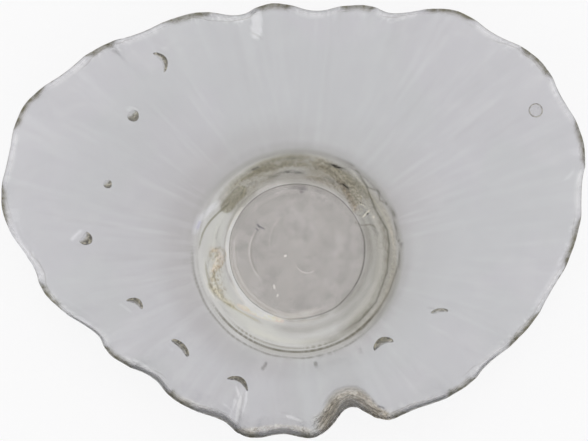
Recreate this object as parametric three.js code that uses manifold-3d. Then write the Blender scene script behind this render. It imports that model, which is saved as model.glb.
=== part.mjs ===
// A free-form clear glass bowl: a thick well on a ground foot, a broad fluted wall with a ruffled
// oval rim and one deep fold, and a ring of applied glass drops under the wall.
// Millimetres, +Z up. The origin is the centre of the foot's flat underside.
import * as THREE from 'three';
import { mergeVertices } from 'three/addons/utils/BufferGeometryUtils.js';
import Module from 'manifold-3d';

// Foot, set in a little from the heel of the well
const footInset = 4;
const footHeight = 6;
const footRound = 2;
const footSides = 72;

// Well
const seatGap = 0.3;
const floorThickness = 6;
const wellFloorRadius = 46;
const wellFlare = 18;
const wellDepth = 26;
const floorCornerRound = 6;
const shoulderRound = 5;
const heelWidth = 7;
const heelRound = 3;

// Wall
const wellThickness = 6.5;
const rimThickness = 4.6;

// The oval that the rim ripples along, and where its middle lies from the foot's centre
const rimLength = 364;
const rimWidth = 266;
const rimMiddleX = 2;
const rimMiddleY = 30;

// Rim height above the table, and how it rises and falls round the oval
const rimHeight = 82;
const rimSaddle = 6;
const rimTilt = 5;
const ruffleHeight = 3.5;
const ruffleTuck = 1;

// How far the wall's profile bows from straight, as a share of its own rise
const bowMean = 0.04;
const bowTilt = 0.22;
const bowSaddle = 0.19;

// Flutes: how early they start on the way from the well to the rim (1 = even, larger = later)
const fluteStart = 1.3;
const foldStart = 4;
const foldBearing = 289.5;
const foldDepth = 10;
const foldSpread = 12;

// Rim crests: bearing in degrees from +X, and how far each one stands outside the oval
const rimCrests = [
  [21, 6], [38.5, 13.5], [57, 10.5], [75.5, -4], [95.5, -5.5], [114, -2],
  [133.5, 4], [151.5, 13], [171.5, 7.5], [189.5, -4], [209, -7], [231, 0],
  [254.5, 10.5], [274.5, 9], [300, 5], [321, 3], [342, -4], [362.5, -5],
];

// Rim troughs, each one just after the crest of the same place in the list
const rimTroughs = [
  [30.5, 7.5], [47.5, 8.5], [68.5, -5.5], [85.5, -11], [104, -10.5], [127, -1],
  [141, 5], [161.5, 7.5], [182.5, -6], [201.5, -13.5], [220.5, -9], [245, 2.5],
  [264.5, 6.5], [foldBearing, -foldDepth], [311, 3], [330.5, -3.5], [351.5, -8], [372.5, -4],
];

// Drops under the wall: bearing in degrees, how far up the wall (0 is the well, 1 the rim), diameter
const wallDrops = [
  [31, 0.87, 9], [126.5, 0.81, 11], [140, 0.62, 8], [160, 0.52, 6.5], [176, 0.64, 11],
  [197.5, 0.6, 10.5], [218.5, 0.63, 11], [246, 0.64, 12.5], [313, 0.35, 12.5], [336.5, 0.48, 9],
];
const dropProud = 2.6;
const dropSkirt = 1.2;
const dropSides = 20;
const dropBands = 4;

// Mesh fineness
const stepsPerHalfFlute = 4;
const wallRows = 6;
const shoulderRows = 4;
const cornerRows = 3;
const rimRows = 3;

const clearGlass = { color: 0xd2d3d6, roughness: 0.04, metalness: 0 };
const thickGlass = { color: 0xb9b8b2, roughness: 0.06, metalness: 0 };

const wasm = await Module();
wasm.setup();

const undersideHeight = footHeight + seatGap;
const floorHeight = undersideHeight + floorThickness;
const shoulderHeight = floorHeight + wellDepth;
const wellMouthRadius = wellFloorRadius + wellFlare;
const heelRadius = wellFloorRadius + heelWidth;
const footRadius = heelRadius - footInset;

function radians(degrees) {
  return THREE.MathUtils.degToRad(degrees);
}

// How far the rim's oval lies from the foot's centre at one bearing
function ovalReach(bearing) {
  const halfLength = rimLength / 2;
  const halfWidth = rimWidth / 2;
  const angle = radians(bearing);
  const way = new THREE.Vector2(Math.cos(angle) / halfLength, Math.sin(angle) / halfWidth);
  const middle = new THREE.Vector2(rimMiddleX / halfLength, rimMiddleY / halfWidth);
  const along = way.dot(middle);
  return (along + Math.sqrt(along ** 2 - way.lengthSq() * (middle.lengthSq() - 1))) / way.lengthSq();
}

// Smooth closed line through [bearing, distance] stations, read at any bearing
function distanceAlong(stations, bearing) {
  const count = stations.length;
  const station = (index) => {
    const turns = Math.floor(index / count);
    const [at, distance] = stations[index - turns * count];
    return [at + 360 * turns, distance];
  };
  let index = 0;
  while (station(index)[0] > bearing) index -= 1;
  while (station(index + 1)[0] <= bearing) index += 1;
  const [before, here, next, after] = [-1, 0, 1, 2].map((step) => station(index + step));
  const span = next[0] - here[0];
  const share = (bearing - here[0]) / span;
  const slopeHere = (next[1] - before[1]) / (next[0] - before[0]) * span;
  const slopeNext = (after[1] - here[1]) / (after[0] - here[0]) * span;
  const s2 = share * share;
  const s3 = s2 * share;
  return here[1] * (2 * s3 - 3 * s2 + 1) + slopeHere * (s3 - 2 * s2 + share)
    + next[1] * (3 * s2 - 2 * s3) + slopeNext * (s3 - s2);
}

// Bearings of all columns, with the wave that is 1 at a crest and -1 at a trough
function rimColumns() {
  const columns = [];
  const crestAfter = (index) => {
    const turns = Math.floor((index + 1) / rimCrests.length);
    return rimCrests[(index + 1) % rimCrests.length][0] + 360 * turns;
  };
  rimCrests.forEach(([crest], index) => {
    const trough = rimTroughs[index][0];
    const stretches = [[crest, trough, 0], [trough, crestAfter(index), 1]];
    for (const [from, to, half] of stretches) {
      for (let step = 0; step < stepsPerHalfFlute; step += 1) {
        const share = step / stepsPerHalfFlute;
        const bearing = from + (to - from) * share;
        const wave = Math.cos(Math.PI * (share + half));
        columns.push({ bearing, wave });
      }
    }
  });
  return columns;
}

// Wave at any bearing, for what is placed between the columns
function waveAt(bearing) {
  const wrapped = bearing < rimCrests[0][0] ? bearing + 360 : bearing;
  let index = rimCrests.length - 1;
  while (rimCrests[index][0] > wrapped) index -= 1;
  const crest = rimCrests[index][0];
  const trough = rimTroughs[index][0];
  const next = index + 1 < rimCrests.length ? rimCrests[index + 1][0] : rimCrests[0][0] + 360;
  if (wrapped < trough) return Math.cos(Math.PI * (wrapped - crest) / (trough - crest));
  return -Math.cos(Math.PI * (wrapped - trough) / (next - trough));
}

// What the rim does at one bearing
function rimAt(bearing, wave) {
  const oval = ovalReach(bearing);
  const crestLine = oval + distanceAlong(rimCrests, bearing);
  const troughLine = oval + distanceAlong(rimTroughs, bearing);
  const angle = radians(bearing);
  const fromFold = Math.abs(((bearing - foldBearing + 540) % 360) - 180);
  const foldShare = fromFold < foldSpread ? 0.5 + 0.5 * Math.cos(Math.PI * fromFold / foldSpread) : 0;
  return {
    mean: (crestLine + troughLine - rimThickness) / 2,
    swing: ((crestLine - troughLine) / 2 + ruffleTuck) * wave,
    lift: -ruffleHeight * wave,
    height: rimHeight - rimSaddle * Math.cos(2 * angle) - rimTilt * Math.sin(angle),
    bow: bowMean - bowTilt * Math.sin(angle) - bowSaddle * Math.cos(2 * angle),
    start: fluteStart + (foldStart - fluteStart) * foldShare,
  };
}

// A point of the wall's inner face: share is 0 at the well's shoulder and 1 at the rim
function wallPoint(rim, share) {
  const flute = share ** rim.start;
  const rise = share + rim.bow * share * (share - 1);
  const reach = wellMouthRadius + (rim.mean - wellMouthRadius) * share + rim.swing * flute;
  const height = shoulderHeight + (rim.height - shoulderHeight) * rise + rim.lift * flute;
  return new THREE.Vector2(reach, height);
}

function towards(from, to, distance) {
  return to.clone().sub(from).setLength(distance).add(from);
}

// Points of a rounded corner, from one tangent to the other
function roundedCorner(before, corner, after, round, rows) {
  const curve = new THREE.QuadraticBezierCurve(
    towards(corner, before, round), corner, towards(corner, after, round),
  );
  return curve.getPoints(rows - 1);
}

// Inner face in section at one bearing, from the edge of the floor to the rim
function innerLine(rim) {
  const centre = new THREE.Vector2(0, floorHeight);
  const floorCorner = new THREE.Vector2(wellFloorRadius, floorHeight);
  const shoulder = new THREE.Vector2(wellMouthRadius, shoulderHeight);
  const reachOfRound = shoulderRound / (rim.mean - wellMouthRadius);
  const wall = [];
  for (let row = 1; row <= wallRows; row += 1) {
    const share = reachOfRound + (1 - reachOfRound) * row / wallRows;
    wall.push(wallPoint(rim, share));
  }
  const wallStart = wallPoint(rim, reachOfRound);
  const roundOut = wallStart.distanceTo(shoulder);
  return {
    floor: roundedCorner(centre, floorCorner, shoulder, floorCornerRound, cornerRows),
    shoulder: roundedCorner(floorCorner, shoulder, wallStart, roundOut, shoulderRows),
    wall,
  };
}

// Unit vector square to the line at one point, on the table's side of the wall
function outwardAt(points, index) {
  const before = points[Math.max(index - 1, 0)];
  const after = points[Math.min(index + 1, points.length - 1)];
  const along = after.clone().sub(before).normalize();
  return new THREE.Vector2(along.y, -along.x);
}

function thicknessAt(index, count) {
  return THREE.MathUtils.lerp(wellThickness, rimThickness, index / (count - 1));
}

// Closed section at one bearing: inner face, round rim, outer face, underside
function sectionAt({ bearing, wave }, extra) {
  const line = innerLine(rimAt(bearing, wave));
  const inner = [...line.shoulder, ...line.wall];
  const outer = inner.map((point, index) => {
    const offset = thicknessAt(index, inner.length) + extra;
    return point.clone().addScaledVector(outwardAt(inner, index), offset);
  });
  const rimInner = inner[inner.length - 1];
  const rimOuter = outer[outer.length - 1];
  const rimCentre = rimInner.clone().add(rimOuter).multiplyScalar(0.5);
  const rimRadius = rimInner.distanceTo(rimOuter) / 2;
  const startAngle = rimInner.clone().sub(rimCentre).angle();
  const rimArc = [];
  for (let row = 1; row <= rimRows; row += 1) {
    const angle = startAngle - Math.PI * row / (rimRows + 1);
    rimArc.push(new THREE.Vector2(Math.cos(angle), Math.sin(angle)).multiplyScalar(rimRadius).add(rimCentre));
  }
  const heel = new THREE.Vector2(heelRadius, undersideHeight);
  const undersideCentre = new THREE.Vector2(0, undersideHeight);
  const base = roundedCorner(outer[0], heel, undersideCentre, heelRound, cornerRows);
  return [...line.floor, ...inner, ...rimArc, ...outer.reverse(), ...base];
}

// Closed mesh through the sections of all columns, with a pole at each end on the axis
function meshFromSections(columns, sections, startHeight, endHeight) {
  const rows = sections[0].length;
  const count = columns.length;
  const positions = [0, 0, startHeight];
  for (let row = 0; row < rows; row += 1) {
    columns.forEach(({ bearing }, column) => {
      const { x: reach, y: height } = sections[column][row];
      positions.push(reach * Math.cos(radians(bearing)), reach * Math.sin(radians(bearing)), height);
    });
  }
  positions.push(0, 0, endHeight);
  const last = rows * count + 1;
  const at = (row, column) => 1 + row * count + column % count;
  const faces = [];
  for (let column = 0; column < count; column += 1) {
    faces.push(0, at(0, column), at(0, column + 1));
    for (let row = 0; row < rows - 1; row += 1) {
      const [a, b] = [at(row, column), at(row, column + 1)];
      const [c, d] = [at(row + 1, column + 1), at(row + 1, column)];
      faces.push(a, d, c, a, c, b);
    }
    faces.push(at(rows - 1, column), last, at(rows - 1, column + 1));
  }
  const geometry = new THREE.BufferGeometry();
  geometry.setAttribute('position', new THREE.Float32BufferAttribute(positions, 3));
  geometry.setIndex(faces);
  return geometry;
}

function bowlGeometry(extra) {
  const columns = rimColumns();
  const sections = columns.map((column) => sectionAt(column, extra));
  return meshFromSections(columns, sections, floorHeight, undersideHeight);
}

function solidOf(geometry) {
  const bare = geometry.clone();
  bare.deleteAttribute('normal');
  bare.deleteAttribute('uv');
  const merged = mergeVertices(bare, 1e-4);
  const mesh = new wasm.Mesh({
    numProp: 3,
    vertProperties: new Float32Array(merged.attributes.position.array),
    triVerts: new Uint32Array(merged.index.array),
  });
  return new wasm.Manifold(mesh);
}

function geometryOf(solid) {
  const mesh = solid.getMesh();
  const geometry = new THREE.BufferGeometry();
  geometry.setAttribute('position', new THREE.BufferAttribute(mesh.vertProperties, 3));
  geometry.setIndex(new THREE.BufferAttribute(mesh.triVerts, 1));
  return geometry;
}

function namedMesh(name, geometry, glass) {
  geometry.computeVertexNormals();
  const mesh = new THREE.Mesh(geometry, new THREE.MeshStandardMaterial(glass));
  mesh.name = name;
  return mesh;
}

// Foot: a ground disc with softened edges, flat on the table and flat under the well
function footMesh() {
  const rounding = (height, side) => {
    const curve = new THREE.EllipseCurve(
      footRadius - footRound, height - side * footRound, footRound, footRound,
      side * Math.PI / 2, 0, side > 0,
    );
    return curve.getPoints(cornerRows);
  };
  const profile = [
    new THREE.Vector2(0, 0),
    ...rounding(0, -1),
    ...rounding(footHeight, 1).reverse(),
    new THREE.Vector2(0, footHeight),
  ];
  const geometry = new THREE.LatheGeometry(profile, footSides);
  geometry.rotateX(Math.PI / 2);
  return namedMesh('foot_pad', geometry, thickGlass);
}

// Where the wall's outer face lies at a bearing, some way up, and the way it faces
function seatOnWall(bearing, upWall) {
  const rim = rimAt(bearing, waveAt(bearing));
  const reach = THREE.MathUtils.lerp(wellMouthRadius, rim.mean, upWall);
  const line = innerLine(rim);
  const inner = [...line.shoulder, ...line.wall];
  const outer = inner.map((point, index) => (
    point.clone().addScaledVector(outwardAt(inner, index), thicknessAt(index, inner.length))
  ));
  let index = 1;
  while (index < outer.length - 1 && outer[index].x < reach) index += 1;
  const [from, to] = [outer[index - 1], outer[index]];
  const share = (reach - from.x) / (to.x - from.x);
  const height = THREE.MathUtils.lerp(from.y, to.y, share);
  const facing = new THREE.Vector2(to.y - from.y, from.x - to.x).normalize();
  const angle = radians(bearing);
  return {
    place: new THREE.Vector3(reach * Math.cos(angle), reach * Math.sin(angle), height),
    facing: new THREE.Vector3(facing.x * Math.cos(angle), facing.x * Math.sin(angle), facing.y),
  };
}

// Drop: a low dome whose skirt is cut away along the wall it was laid on
function dropMesh([bearing, upWall, diameter], index, wallAndGap) {
  const { place, facing } = seatOnWall(bearing, upWall);
  const radius = diameter / 2;
  const dome = new THREE.EllipseCurve(0, 0, radius, dropProud, -Math.PI / 2, 0);
  const profile = [
    ...dome.getPoints(dropBands),
    new THREE.Vector2(radius, dropSkirt),
    new THREE.Vector2(0, dropSkirt),
  ];
  profile[0].x = 0;
  const geometry = new THREE.LatheGeometry(profile, dropSides);
  const turn = new THREE.Quaternion().setFromUnitVectors(new THREE.Vector3(0, -1, 0), facing);
  geometry.applyQuaternion(turn);
  geometry.translate(place.x, place.y, place.z);
  const drop = solidOf(geometry).subtract(wallAndGap);
  return namedMesh(`wall_drop_${index + 1}`, geometryOf(drop), thickGlass);
}

const bowl = new THREE.Group();
bowl.add(namedMesh('bowl_body', bowlGeometry(0), clearGlass));
bowl.add(footMesh());
const wallAndGap = solidOf(bowlGeometry(seatGap));
wallDrops.forEach((drop, index) => bowl.add(dropMesh(drop, index, wallAndGap)));

export default bowl;
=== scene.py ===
# Free-form clear glass bowl: a thick round well, a fluted wall and a ruffled rim with one deep
# fold, on a ground foot, with applied drops under the wall. Seen from straight above.
import bpy
import bmesh
import math
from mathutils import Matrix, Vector, noise
from mathutils.bvhtree import BVHTree
from mathutils.kdtree import KDTree


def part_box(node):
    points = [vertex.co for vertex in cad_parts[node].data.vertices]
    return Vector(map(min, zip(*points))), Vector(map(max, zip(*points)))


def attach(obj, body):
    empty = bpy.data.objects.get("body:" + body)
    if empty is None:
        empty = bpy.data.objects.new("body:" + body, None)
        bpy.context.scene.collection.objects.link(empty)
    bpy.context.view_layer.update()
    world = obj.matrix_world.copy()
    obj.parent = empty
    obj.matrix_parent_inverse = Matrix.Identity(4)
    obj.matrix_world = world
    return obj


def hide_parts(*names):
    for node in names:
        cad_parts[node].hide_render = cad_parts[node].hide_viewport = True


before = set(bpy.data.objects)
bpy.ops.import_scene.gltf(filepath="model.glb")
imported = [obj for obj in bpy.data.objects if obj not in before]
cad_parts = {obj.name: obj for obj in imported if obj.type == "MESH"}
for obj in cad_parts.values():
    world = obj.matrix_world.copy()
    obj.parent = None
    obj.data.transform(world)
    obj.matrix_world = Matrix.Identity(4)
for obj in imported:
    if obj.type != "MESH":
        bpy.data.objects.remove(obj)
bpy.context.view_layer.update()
scene = bpy.context.scene
mm = 0.001
print("frame loaded:", len(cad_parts), "nodes")

cameraSetup = {
    "x": -0.0020, "y": 0.0211, "height": 0.800, "focalLength": 70.29, "sensorWidth": 36.0,
    "frameWidth": 588, "frameHeight": 441,
}
floorSetup = {"size": 16.0, "below": 0.2 * mm, "colour": (0.95, 0.95, 0.95), "ownWhite": 0.81}
worldSetup = {
    "horizon": (0.58, 0.58, 0.56), "middle": (0.70, 0.70, 0.71), "zenith": (0.84, 0.83, 0.86),
    "middleHeight": 0.35, "strength": 1.0,
}
softboxSetup = {"place": (0.0, 0.60, 1.90), "size": 0.8, "power": 4.5, "colour": (1.0, 0.99, 0.98)}


def feed(tree, socket, source):
    # another node's output is linked, a colour or a number is set
    if isinstance(source, bpy.types.NodeSocket):
        tree.links.new(source, socket)
    elif socket.type == "RGBA":
        socket.default_value = (*source, 1)
    else:
        socket.default_value = source


def addNode(tree, kind, sockets=None, **settings):
    node = tree.nodes.new("ShaderNode" + kind)
    for name, value in settings.items():
        setattr(node, name, value)
    for name, source in (sockets or {}).items():
        feed(tree, node.inputs[name], source)
    return node


def mathNode(tree, operation, *sources, clamp=False):
    return addNode(tree, "Math", dict(enumerate(sources)), operation=operation, use_clamp=clamp).outputs[0]


def product(tree, first, *others):
    for other in others:
        first = mathNode(tree, "MULTIPLY", first, other)
    return first


def greatest(tree, first, *others):
    for other in others:
        first = mathNode(tree, "MAXIMUM", first, other)
    return first


def vectorNode(tree, operation, *sources):
    node = addNode(tree, "VectorMath", dict(enumerate(sources)), operation=operation)
    return node.outputs["Value" if operation == "LENGTH" else "Vector"]


def stepNode(tree, value, low, high, start=0.0, end=1.0, kind="SMOOTHSTEP"):
    sockets = {"Value": value, "From Min": low, "From Max": high, "To Min": start, "To Max": end}
    return addNode(tree, "MapRange", sockets, interpolation_type=kind).outputs["Result"]


def noiseNode(tree, place, scale, detail, distortion=0.0):
    sockets = {"Vector": place, "Scale": scale, "Detail": detail, "Distortion": distortion}
    return addNode(tree, "TexNoise", sockets).outputs["Fac"]


def mixColour(tree, factor, first, second, blend="MIX"):
    sockets = {0: factor, 6: first, 7: second}
    return addNode(tree, "Mix", sockets, data_type="RGBA", blend_type=blend).outputs[2]


def attribute(tree, name, output="Fac"):
    return addNode(tree, "Attribute", attribute_name=name).outputs[output]


def arrangeNodes(tree, last):
    # columns to the left of the last node, as far as the links between them reach
    columns, rows, waiting = {last: 0}, {}, [last]
    while waiting:
        node = waiting.pop()
        for link in [link for socket in node.inputs for link in socket.links]:
            if columns.get(link.from_node, 0) <= columns[node]:
                columns[link.from_node] = columns[node] + 1
                waiting.append(link.from_node)
    for node, column in columns.items():
        node.location = (-220 * column, -260 * rows.get(column, 0))
        rows[column] = rows.get(column, 0) + 1


def emptyTree(owner, out):
    owner.use_nodes = True
    owner.node_tree.nodes.clear()
    return owner.node_tree, owner.node_tree.nodes.new(out)


def addCamera():
    data = bpy.data.cameras.new("photoCamera")
    data.lens = cameraSetup["focalLength"]
    data.sensor_width = cameraSetup["sensorWidth"]
    camera = bpy.data.objects.new("photoCamera", data)
    camera.location = (cameraSetup["x"], cameraSetup["y"], cameraSetup["height"])
    scene.collection.objects.link(camera)
    scene.camera = camera


def addFloor():
    # pale paper, made white for the camera and for what is seen in or through the glass
    bpy.ops.mesh.primitive_plane_add(size=floorSetup["size"], location=(0, 0, -floorSetup["below"]))
    floor = bpy.context.object
    floor.name = "floor"
    material = bpy.data.materials.new("paleFloor")
    tree, out = emptyTree(material, "ShaderNodeOutputMaterial")
    ray = addNode(tree, "LightPath").outputs
    seen = greatest(tree, ray["Is Camera Ray"], ray["Is Glossy Ray"], ray["Is Transmission Ray"])
    paper = addNode(tree, "BsdfDiffuse", {"Color": floorSetup["colour"]})
    white = addNode(tree, "Emission")
    share = product(tree, seen, floorSetup["ownWhite"])
    mix = addNode(tree, "MixShader", {"Fac": share, 1: paper.outputs[0], 2: white.outputs[0]})
    tree.links.new(mix.outputs[0], out.inputs["Surface"])
    arrangeNodes(tree, out)
    floor.data.materials.append(material)


def addWorld():
    world = bpy.data.worlds.new("studio")
    scene.world = world
    tree, out = emptyTree(world, "ShaderNodeOutputWorld")
    where = addNode(tree, "TexCoord")
    split = addNode(tree, "SeparateXYZ", {0: where.outputs["Generated"]})
    ramp = addNode(tree, "ValToRGB", {"Fac": split.outputs["Z"]})
    stops = ramp.color_ramp.elements
    stops[0].color = (*worldSetup["horizon"], 1)
    stops[1].color = (*worldSetup["zenith"], 1)
    stops.new(worldSetup["middleHeight"]).color = (*worldSetup["middle"], 1)
    sockets = {"Color": ramp.outputs["Color"], "Strength": worldSetup["strength"]}
    tree.links.new(addNode(tree, "Background", sockets).outputs[0], out.inputs["Surface"])
    arrangeNodes(tree, out)


def addSoftbox():
    data = bpy.data.lights.new("softbox", "AREA")
    data.shape = "SQUARE"
    data.size = softboxSetup["size"]
    data.energy = softboxSetup["power"]
    data.color = softboxSetup["colour"]
    lamp = bpy.data.objects.new("softbox", data)
    lamp.location = softboxSetup["place"]
    lamp.rotation_mode = "QUATERNION"
    lamp.rotation_quaternion = (-Vector(softboxSetup["place"])).to_track_quat("-Z", "Y")
    lamp.visible_glossy = False  # the walls would mirror it as hard white bars
    scene.collection.objects.link(lamp)


scene.view_settings.view_transform = "Standard"
addCamera()
addFloor()
addWorld()
addSoftbox()
print("camera, floor and light are up")


def smooth(low, high, value):
    share = min(max((value - low) / (high - low), 0), 1)
    return share * share * (3 - 2 * share)


def bump(low, peakLow, peakHigh, high, value):
    return smooth(low, peakLow, value) * (1 - smooth(peakHigh, high, value))


def reached(change, row):
    return bump(*reachedRows[change], row)


def turnBetween(one, other):
    return abs((one - other + 180) % 360 - 180)


def nearTurn(bearing, middle, reach, full):
    # 1 within the full share of the reach on either side of a bearing, 0 beyond the reach
    return 1 - smooth(full * reach, reach, turnBetween(bearing, middle))


def bearingOf(point):
    return math.degrees(math.atan2(point.y, point.x)) % 360


def axisDistance(point):
    return math.hypot(point.x, point.y)


def makeActive(piece):
    bpy.ops.object.select_all(action="DESELECT")
    piece.select_set(True)
    bpy.context.view_layer.objects.active = piece


def writeValues(mesh, name, values):
    mesh.attributes.new(name, "FLOAT", "POINT").data.foreach_set("value", values)


def readValues(mesh, name):
    return [item.value for item in mesh.attributes[name].data]


def finishPiece(piece, material, slot, *nodes):
    for face in piece.data.polygons:
        face.use_smooth = True
    piece.data.materials.clear()
    piece.data.materials.append(material)
    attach(piece, "root")
    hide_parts(*nodes)


# Rows of the frame's section of the bowl: 3 points round the floor's corner, 4 over the shoulder,
# 6 up the wall, 3 over the rim, the same 10 back down the outside and 3 round the heel.
section = {"wallFoot": 6, "rimInside": 12, "rimTop": 14, "rimOutside": 16, "last": 28}

bowlShape = {
    "extraRows": {2: 3, 9: 1, 10: 1, 11: 2, 16: 2, 17: 1, 25: 1},
    "straightGaps": (2, 25),
    "smoothing": 2,
    "innerShare": 0.45,
    "shoulderShift": -1.3 * mm,
    "shoulderPush": {"depth": 1.5 * mm, "least": 1.35 * mm, "leastAt": 62, "spread": 62, "uneven": 0.35 * mm},
    "crestDroop": {"depth": 2.6 * mm, "from": 0.80},
    "troughDrop": {"depth": 1.5 * mm, "from": 0.75},
    "rimThinning": {"depth": 2.8 * mm, "from": 0.78},
    "pleats": {"depth": 0.30 * mm, "fineDepth": 0.12 * mm, "count": 15, "fineCount": 42},
    "ripple": {"depth": 0.35 * mm, "size": 26 * mm},
    "wellRipple": {"depth": 0.55 * mm, "size": 11 * mm},
    "fold": {"bearing": 288.0, "halfWidth": 14, "from": 0.62, "crinkle": 0.45 * mm, "size": 3.2 * mm},
    "cornerWander": 1.5 * mm,
    "cornerFill": {"height": 1.1 * mm, "bearing": 95, "spread": 70},
    "kinks": {"bearings": (40.8, 25.1, 5.9, 346.4, 331), "reach": 9.0, "depth": 0.9 * mm},
}

# The rows of the section that a change of shape reaches: where it starts, is full, begins to fade
# and ends
reachedRows = {
    "wellRipple": (2.0, 2.6, 3.6, 6.0),
    "shoulderPush": (2.5, 4.0, 5.5, 8.0),
    "kinks": (2.5, 3.5, 6.0, 7.5),
    "cornerWander": (0.4, 1.0, 2.0, 2.8),
    "cornerFill": (0.5, 1.2, 1.6, 2.8),
    "shoulderShift": (2.0, 4.0, 6.0, 8.5),
}

# Sharp little pleats in the wall: bearing, from and to (0 the well, 1 the rim), depth and half
# width in mm
bowlCreases = [
    (251.5, 0.72, 1.02, 0.14, 1.8),
    (249.2, 0.80, 1.02, -0.12, 1.6),
    (253.6, 0.70, 0.98, 0.12, 1.5),
    (99.8, 0.86, 0.99, 0.9, 3.0),
    (132.3, 0.86, 0.95, 0.8, 1.8),
    (115.0, 0.45, 0.97, 0.35, 2.2),
    (79.5, 0.82, 1.0, 0.12, 1.6),
    (17.0, 0.90, 1.0, 0.8, 2.0),
    (214.0, 0.70, 1.0, 0.5, 1.8),
    (181.0, 0.80, 1.0, 0.5, 2.0),
]


def sectionChains(nodeName):
    # one chain of points for each bearing, from the floor over the rim to the underside
    bm = bmesh.new()
    bm.from_mesh(bpy.data.objects[nodeName].data)
    bmesh.ops.remove_doubles(bm, verts=bm.verts, dist=0.002 * mm)
    poles = (vert for vert in bm.verts if axisDistance(vert.co) < 0.01 * mm)
    underside, floor = sorted(poles, key=lambda vert: vert.co.z)
    chains = []
    for first in floor.link_edges:
        chain = [floor, first.other_vert(floor)]
        bearing = bearingOf(chain[1].co)
        while underside not in chain:
            ahead = [edge.other_vert(chain[-1]) for edge in chain[-1].link_edges]
            ahead = [vert for vert in ahead if vert is not chain[-2] and vert is not floor]
            if underside in ahead:
                chain.append(underside)
            else:
                chain.append(min(ahead, key=lambda vert: turnBetween(bearingOf(vert.co), bearing)))
        chains.append([vert.co.copy() for vert in chain[1:-1]])
    chains.sort(key=lambda chain: bearingOf(chain[0]))
    ends = floor.co.copy(), underside.co.copy()
    bm.free()
    return ends, chains


def between(chain, row, share, straight):
    here, after = chain[row], chain[row + 1]
    if straight:
        return here.lerp(after, share)
    before, later = chain[row - 1], chain[row + 2]
    return 0.5 * (
        2 * here + (after - before) * share
        + (2 * before - 5 * here + 4 * after - later) * share ** 2
        + (3 * here - before - 3 * after + later) * share ** 3
    )


def withExtraRows(chain):
    points, places = [], []
    for row in range(len(chain)):
        points.append(chain[row])
        places.append(float(row))
        extra = bowlShape["extraRows"].get(row, 0)
        for step in range(1, extra + 1):
            share = step / (extra + 1)
            points.append(between(chain, row, share, row in bowlShape["straightGaps"]))
            places.append(row + share)
    return points, places


def crestWaves(chains):
    # 1 on a crest of the rim, -1 in a trough, read from how the rim dips and lifts
    heights = [chain[section["rimTop"]].z for chain in chains]
    count = len(heights)
    around = [sum(heights[(i + step) % count] for step in range(-4, 5)) / 9 for i in range(count)]
    return [max(-1, min(1, (middle - height) / (3.0 * mm))) for middle, height in zip(around, heights)]


def meshFromChains(name, ends, chains, places, waves):
    rows, count = len(places), len(chains)
    points = [ends[0]] + [chain[row] for row in range(rows) for chain in chains] + [ends[1]]
    last = len(points) - 1

    def at(row, column):
        return 1 + row * count + column % count

    faces = []
    for column in range(count):
        faces.append((0, at(0, column), at(0, column + 1)))
        for row in range(rows - 1):
            below = row + 1
            faces.append((at(row, column), at(below, column), at(below, column + 1), at(row, column + 1)))
        faces.append((at(rows - 1, column), last, at(rows - 1, column + 1)))
    mesh = bpy.data.meshes.new(name)
    mesh.from_pydata(points, [], faces)
    writeValues(mesh, "sectionPlace", [-1.0] + [p for p in places for _ in chains] + [section["last"] + 1.0])
    writeValues(mesh, "crestWave", [0.0] + waves * rows + [0.0])
    return mesh


def mirrored(place):
    # the inner row that lies on the other side of the glass
    return place if place <= section["rimTop"] else section["last"] - place


def upWallAt(place):
    foot, rim = section["wallFoot"], section["rimInside"]
    return min(max((mirrored(place) - foot) / (rim - foot), 0), 1)


def surfaceLift(point, way, bearing, up, row):
    # how far the tools' flutes and ripples, the sharp pleats and the fold's crinkles raise the glass
    shape = bowlShape
    pleats, ripple, wellRipple, fold = shape["pleats"], shape["ripple"], shape["wellRipple"], shape["fold"]
    coarse = noise.noise(way * pleats["count"] + Vector((0, 0, 0.8 * up)))
    fine = noise.noise(way * pleats["fineCount"] + Vector((7, 3, 1.5 * up)))
    swell = noise.noise(point / ripple["size"] + Vector((2, 9, 4)))
    wallShare = smooth(0.02, 0.5, up) * (1 - 0.5 * smooth(0.97, 1.0, up))
    lift = wallShare * (pleats["depth"] * coarse + pleats["fineDepth"] * fine)
    lift += smooth(0.0, 0.2, up) * ripple["depth"] * swell
    lift += reached("wellRipple", row) * wellRipple["depth"] * noise.noise(point / wellRipple["size"])
    for middle, start, end, depth, halfWidth in bowlCreases:
        turn = turnBetween(bearing, middle)
        if turn < 8:
            away = math.radians(turn) * axisDistance(point) / (halfWidth * mm)
            along = bump(start - 0.06, start + 0.04, end - 0.03, end + 0.03, up)
            lift += along * depth * mm * math.exp(-(away ** 2))
    inFold = nearTurn(bearing, fold["bearing"], fold["halfWidth"], 0.7) * smooth(fold["from"], 0.9, up)
    return lift + inFold * fold["crinkle"] * noise.noise(point / fold["size"])


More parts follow.
